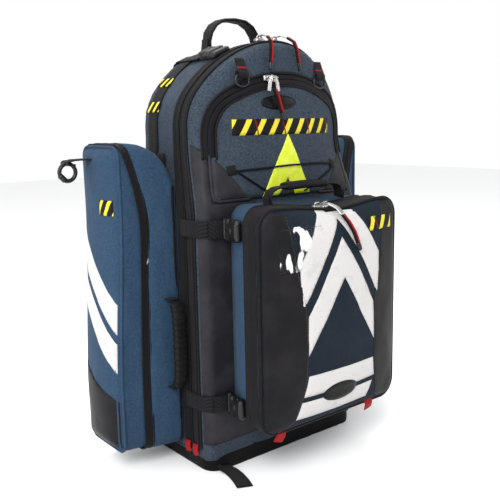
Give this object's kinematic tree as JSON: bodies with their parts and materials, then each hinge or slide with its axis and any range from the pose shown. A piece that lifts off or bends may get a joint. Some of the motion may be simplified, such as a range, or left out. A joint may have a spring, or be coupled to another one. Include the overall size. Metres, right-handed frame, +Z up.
{
  "type": "emergency medical backpack",
  "caption": "Upright first-responder backpack with falling front lid, removable front and side pouches, release buckles, zips, grips and a carrying harness.",
  "frame": {"origin": "middle of the underside of the base, where the pack stands", "axes": "+Z up, -Y towards the front pouch, +Y towards the wearer's back, +X to the right when seen from the front"},
  "size_m": [0.5901, 0.3665, 0.69],
  "materials": {
    "navy_fabric": "coated woven polyester",
    "pouch_blue_fabric": "coated woven polyester",
    "coated_black": "smooth coated tarpaulin",
    "black_webbing": "woven polyamide webbing",
    "elastic_cord": "braided elastic",
    "black_plastic": "moulded acetal",
    "frame_plastic": "sheet",
    "padded_mesh": "spacer mesh over foam",
    "zip_tape": "coil zip on woven tape",
    "zip_metal": "nickel plated",
    "red_cord": "braided cord",
    "ribbed_rubber": "ribbed",
    "reflective_white": "glass bead reflective tape",
    "hi_vis_yellow": "fluorescent reflective tape",
    "clear_vinyl": "clear flexible vinyl"
  },
  "bodies": {
    "pack": {"main_tub": "navy_fabric", "frame_sheet": "frame_plastic", "inner_shelves": "padded_mesh", "back_panel": "padded_mesh", "lumbar_pad": "padded_mesh", "base_boot": "coated_black", "main_zip_tape": "zip_tape", "base_strap": "black_webbing", "crown_webbing": "black_webbing", "top_buckle_sockets": "black_plastic", "haul_lugs": "black_webbing"},
    "main_lid": {"lid_shell": "navy_fabric", "lid_zip_tape": "zip_tape", "coated_wings": "coated_black", "compression_straps": "black_webbing", "front_buckle_plugs": "black_plastic", "top_buckle_plugs": "black_plastic", "ring_tabs": "black_webbing"},
    "upper_flap": {"flap_shell": "navy_fabric", "flap_stripe_tape": "black_webbing", "hi_vis_chevron": "hi_vis_yellow", "bungee_cord": "elastic_cord", "bungee_tabs": "black_webbing"},
    "front_pouch": {"front_pouch_tub": "pouch_blue_fabric", "front_buckle_sockets": "black_plastic"},
    "front_pouch_lid": {"front_pouch_lid_shell": "navy_fabric", "pouch_outer_chevron": "reflective_white", "pouch_inner_chevron": "reflective_white", "pouch_lower_bands": "reflective_white", "pouch_window": "clear_vinyl"},
    "left_pouch": {"left_pouch_tub": "pouch_blue_fabric"},
    "left_pouch_lid": {"left_pouch_lid_shell": "pouch_blue_fabric", "left_pouch_reflectors": "reflective_white", "snap_hook_tab": "black_webbing"},
    "left_grip": {"left_side_grip": "ribbed_rubber"},
    "left_pouch_slider": {"left_pouch_zip_slider": "zip_metal"},
    "left_ring": {"left_d_ring": "black_plastic"},
    "main_slider_left": {"main_zip_slider_left": "zip_metal"},
    "main_pull_left": {"main_zip_pull_left": "red_cord"},
    "left_shoulder": {"left_shoulder_strap": "padded_mesh", "sternum_strap": "black_webbing"},
    "left_hip": {"left_hip_wing": "padded_mesh"},
    "right_pouch": {"right_pouch_tub": "pouch_blue_fabric"},
    "right_pouch_lid": {"right_pouch_lid_shell": "pouch_blue_fabric", "right_pouch_reflectors": "reflective_white"},
    "right_grip": {"right_side_grip": "ribbed_rubber"},
    "right_pouch_slider": {"right_pouch_zip_slider": "zip_metal"},
    "right_ring": {"right_d_ring": "black_plastic"},
    "main_slider_right": {"main_zip_slider_right": "zip_metal"},
    "main_pull_right": {"main_zip_pull_right": "red_cord"},
    "right_shoulder": {"right_shoulder_strap": "padded_mesh"},
    "right_hip": {"right_hip_wing": "padded_mesh"},
    "haul": {"haul_handle": "black_webbing"},
    "front_grip": {"front_handle_strap": "black_webbing", "front_grip_sleeve": "ribbed_rubber"},
    "flap_slider": {"flap_zip_slider": "zip_metal"},
    "flap_pull": {"flap_zip_pull": "zip_metal"},
    "front_slider": {"front_zip_slider": "zip_metal"},
    "front_pull": {"front_zip_pull": "zip_metal"},
    "hook": {"snap_hook": "black_plastic"}
  },
  "joints": [
    {"name": "main_lid_fall", "type": "hinge", "parent": "pack", "child": "main_lid", "pos_m": [0, -0.096, 0.012], "axis": [1, 0, 0], "range_deg": [0, 95]},
    {"name": "upper_flap_fall", "type": "hinge", "parent": "main_lid", "child": "upper_flap", "pos_m": [0, -0.099, 0.414], "axis": [1, 0, 0], "range_deg": [0, 25]},
    {"name": "front_pouch_off", "type": "slide", "parent": "main_lid", "child": "front_pouch", "axis": [0, -1, 0], "range_m": [0, 0.15]},
    {"name": "front_pouch_lid_fall", "type": "hinge", "parent": "front_pouch", "child": "front_pouch_lid", "pos_m": [0, -0.16815, 0.088], "axis": [1, 0, 0], "range_deg": [0, 95]},
    {"name": "left_pouch_off", "type": "slide", "parent": "pack", "child": "left_pouch", "axis": [-1, 0, 0], "range_m": [0, 0.12]},
    {"name": "left_pouch_open", "type": "hinge", "parent": "left_pouch", "child": "left_pouch_lid", "pos_m": [-0.21415, 0.0823, 0.265], "axis": [0, 0, -1], "range_deg": [0, 100]},
    {"name": "left_grip_swing", "type": "hinge", "parent": "left_pouch", "child": "left_grip", "pos_m": [-0.177, -0.04, 0.199], "axis": [0, 0, -1], "range_deg": [0, 60]},
    {"name": "left_pouch_zip", "type": "slide", "parent": "left_pouch_lid", "child": "left_pouch_slider", "axis": [0, 0, -1], "range_m": [0, 0.15]},
    {"name": "left_ring_swing", "type": "hinge", "parent": "main_lid", "child": "left_ring", "pos_m": [-0.084, -0.1, 0.5945], "axis": [-1, 0, 0], "range_deg": [0, 80]},
    {"name": "main_zip_left", "type": "slide", "parent": "main_lid", "child": "main_slider_left", "axis": [-1, 0, 0], "range_m": [0, 0.025]},
    {"name": "main_pull_left_lift", "type": "hinge", "parent": "main_slider_left", "child": "main_pull_left", "pos_m": [0, -0.0675, 0.65], "axis": [-1, 0, 0], "range_deg": [0, 70]},
    {"name": "left_shoulder_lift", "type": "hinge", "parent": "pack", "child": "left_shoulder", "pos_m": [-0.08, 0.088, 0.583], "axis": [1, 0, 0], "range_deg": [0, 15]},
    {"name": "left_hip_unfold", "type": "hinge", "parent": "pack", "child": "left_hip", "pos_m": [-0.126, 0.104, 0.12], "axis": [0, 0, 1], "range_deg": [0, 100]},
    {"name": "right_pouch_off", "type": "slide", "parent": "pack", "child": "right_pouch", "axis": [1, 0, 0], "range_m": [0, 0.12]},
    {"name": "right_pouch_open", "type": "hinge", "parent": "right_pouch", "child": "right_pouch_lid", "pos_m": [0.21415, 0.0823, 0.265], "axis": [0, 0, 1], "range_deg": [0, 100]},
    {"name": "right_grip_swing", "type": "hinge", "parent": "right_pouch", "child": "right_grip", "pos_m": [0.177, -0.04, 0.199], "axis": [0, 0, 1], "range_deg": [0, 60]},
    {"name": "right_pouch_zip", "type": "slide", "parent": "right_pouch_lid", "child": "right_pouch_slider", "axis": [0, 0, -1], "range_m": [0, 0.15]},
    {"name": "right_ring_swing", "type": "hinge", "parent": "main_lid", "child": "right_ring", "pos_m": [0.084, -0.1, 0.5945], "axis": [-1, 0, 0], "range_deg": [0, 80]},
    {"name": "main_zip_right", "type": "slide", "parent": "main_lid", "child": "main_slider_right", "axis": [1, 0, 0], "range_m": [0, 0.025]},
    {"name": "main_pull_right_lift", "type": "hinge", "parent": "main_slider_right", "child": "main_pull_right", "pos_m": [0, -0.0675, 0.65], "axis": [-1, 0, 0], "range_deg": [0, 70]},
    {"name": "right_shoulder_lift", "type": "hinge", "parent": "pack", "child": "right_shoulder", "pos_m": [0.08, 0.088, 0.583], "axis": [1, 0, 0], "range_deg": [0, 15]},
    {"name": "right_hip_unfold", "type": "hinge", "parent": "pack", "child": "right_hip", "pos_m": [0.126, 0.104, 0.12], "axis": [0, 0, -1], "range_deg": [0, 100]},
    {"name": "haul_handle_fold", "type": "hinge", "parent": "pack", "child": "haul", "pos_m": [0, 0.03, 0.652], "axis": [1, 0, 0], "range_deg": [-75, 75]},
    {"name": "front_grip_fold", "type": "hinge", "parent": "front_pouch", "child": "front_grip", "pos_m": [0, -0.14, 0.417], "axis": [1, 0, 0], "range_deg": [-55, 70]},
    {"name": "flap_zip", "type": "slide", "parent": "upper_flap", "child": "flap_slider", "axis": [-1, 0, 0], "range_m": [0, 0.025]},
    {"name": "flap_pull_lift", "type": "hinge", "parent": "flap_slider", "child": "flap_pull", "pos_m": [0, -0.10845, 0.594], "axis": [-1, 0, 0], "range_deg": [0, 70]},
    {"name": "front_zip", "type": "slide", "parent": "front_pouch_lid", "child": "front_slider", "axis": [-1, 0, 0], "range_m": [0, 0.06]},
    {"name": "front_pull_lift", "type": "hinge", "parent": "front_slider", "child": "front_pull", "pos_m": [0, -0.1935, 0.412], "axis": [-1, 0, 0], "range_deg": [0, 70]},
    {"name": "snap_hook_swing", "type": "hinge", "parent": "left_pouch_lid", "child": "hook", "pos_m": [-0.2946, 0.055, 0.474], "axis": [0, 1, 0], "range_deg": [0, 45]}
  ],
  "couplings": [
    {"joint": "right_shoulder_lift", "follows": "left_shoulder_lift", "ratio": 1}
  ]
}
